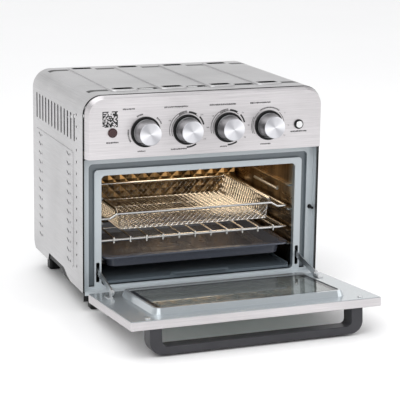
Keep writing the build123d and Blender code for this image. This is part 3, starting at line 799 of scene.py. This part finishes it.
class OVEN_OT_stage(bpy.types.Operator):
    """Set the pale floor, soft studio lights, the warm chamber light and the camera"""
    bl_idname = "oven.stage"
    bl_label = "Studio"

    def execute(self, context):
        scene = bpy.context.scene
        scene.view_settings.view_transform = "Standard"
        world = bpy.data.worlds.new("studio_white")
        world.use_nodes = True
        self.sky(world.node_tree)
        scene.world = world

        editor = bmesh.new()
        bmesh.ops.create_grid(editor, x_segments=1, y_segments=1, size=14.0)
        mesh = bpy.data.meshes.new("floor")
        editor.to_mesh(mesh)
        editor.free()
        floor = bpy.data.objects.new("floor", mesh)
        scene.collection.objects.link(floor)
        f = Finish("floor_paper")
        haze = f.noise(f.place(), 1.5, 2.0)
        paper = f.mix(haze, (0.93, 0.93, 0.93), (0.96, 0.96, 0.96))
        mesh.materials.append(f.set(Base_Color=paper, Roughness=0.6))

        self.area("key_light", (-1.6, -1.8, 2.4), (0, 0, 0.15), 2.2, 32)
        self.area("fill_light", (2.2, -1.2, 1.7), (0, 0, 0.15), 2.0, 22)
        daylight = bpy.data.lights.new("overhead_light", "SUN")
        daylight.energy = 1.6
        daylight.angle = math.radians(70)
        overhead = bpy.data.objects.new("overhead_light", daylight)
        scene.collection.objects.link(overhead)
        overhead.rotation_euler = (math.radians(-12), math.radians(-8), 0)
        lamp = bpy.data.lights.new("chamber_light", "AREA")
        lamp.energy = 0.26
        lamp.size = 0.16
        lamp.color = tuple(colours().lamp)
        light = bpy.data.objects.new("chamber_light", lamp)
        scene.collection.objects.link(light)
        light.location = (0.06, (CHAMBER_LOW.y + FRONT_OF_CASING) / 2 + 0.02, CHAMBER_HIGH.z - 0.012)

        camera_data = bpy.data.cameras.new("camera")
        camera_data.lens = CAMERA_FOCAL
        camera_data.sensor_width = 36.0
        camera_data.shift_y = CAMERA_SHIFT
        camera_data.clip_end = 100.0
        camera = bpy.data.objects.new("camera", camera_data)
        scene.collection.objects.link(camera)
        yaw, pitch, roll = CAMERA_YAW, CAMERA_PITCH, CAMERA_ROLL
        forward = Vector((math.sin(yaw) * math.cos(pitch), math.cos(yaw) * math.cos(pitch), -math.sin(pitch)))
        right = Vector((math.cos(yaw), -math.sin(yaw), 0))
        up = right.cross(forward)
        rolled_right = right * math.cos(roll) + up * math.sin(roll)
        rolled_up = up * math.cos(roll) - right * math.sin(roll)
        turn = Matrix((rolled_right, rolled_up, -forward)).transposed().to_4x4()
        camera.matrix_world = Matrix.Translation(CAMERA_PLACE) @ turn
        scene.camera = camera
        return {"FINISHED"}

    def sky(self, tree):
        """White at the horizon, grey overhead, so that the steel takes a gradient."""
        place = tree.nodes.new("ShaderNodeTexCoord")
        split = tree.nodes.new("ShaderNodeSeparateXYZ")
        ramp = tree.nodes.new("ShaderNodeValToRGB")
        ramp.color_ramp.elements[0].position = 0.10
        ramp.color_ramp.elements[0].color = (1.0, 1.0, 1.0, 1.0)
        ramp.color_ramp.elements[1].position = 0.75
        ramp.color_ramp.elements[1].color = (0.34, 0.34, 0.35, 1.0)
        tree.links.new(place.outputs["Generated"], split.inputs[0])
        tree.links.new(split.outputs[2], ramp.inputs[0])
        tree.links.new(ramp.outputs[0], tree.nodes["Background"].inputs[0])

    def area(self, name, place, target, size, power):
        data = bpy.data.lights.new(name, "AREA")
        data.energy = power
        data.size = size
        light = bpy.data.objects.new(name, data)
        bpy.context.scene.collection.objects.link(light)
        light.location = place
        light.rotation_euler = (Vector(target) - Vector(place)).to_track_quat("-Z", "Y").to_euler()


class OVEN_PT_panel(bpy.types.Panel):
    """Shows the oven's sizes, colours and operators in the sidebar"""
    bl_idname = "OVEN_PT_panel"
    bl_label = "Toaster oven"
    bl_space_type = "VIEW_3D"
    bl_region_type = "UI"
    bl_category = "Oven"

    def draw(self, context):
        for group in (context.scene.oven_sizes, context.scene.oven_colours):
            for key in group.__annotations__:
                self.layout.prop(group, key)
        for operator in OPERATORS:
            self.layout.operator(operator.bl_idname)


OPERATORS = (OVEN_OT_stage, OVEN_OT_casing_finish, OVEN_OT_chamber_finish, OVEN_OT_front_finish,
             OVEN_OT_knobs, OVEN_OT_dial_marks, OVEN_OT_back_wall, OVEN_OT_basket_mesh)
CLASSES = (OvenSizes, OvenColours, *OPERATORS, OVEN_PT_panel)


def register():
    for cls in CLASSES:
        bpy.utils.register_class(cls)
    bpy.types.Scene.oven_sizes = bpy.props.PointerProperty(type=OvenSizes)
    bpy.types.Scene.oven_colours = bpy.props.PointerProperty(type=OvenColours)


def unregister():
    del bpy.types.Scene.oven_sizes
    del bpy.types.Scene.oven_colours
    for cls in reversed(CLASSES):
        bpy.utils.unregister_class(cls)


def main():
    register()
    for operator in OPERATORS:
        group, name = operator.bl_idname.split(".")
        getattr(getattr(bpy.ops, group), name)()
    bpy.context.view_layer.update()


if __name__ == "__main__":
    main()
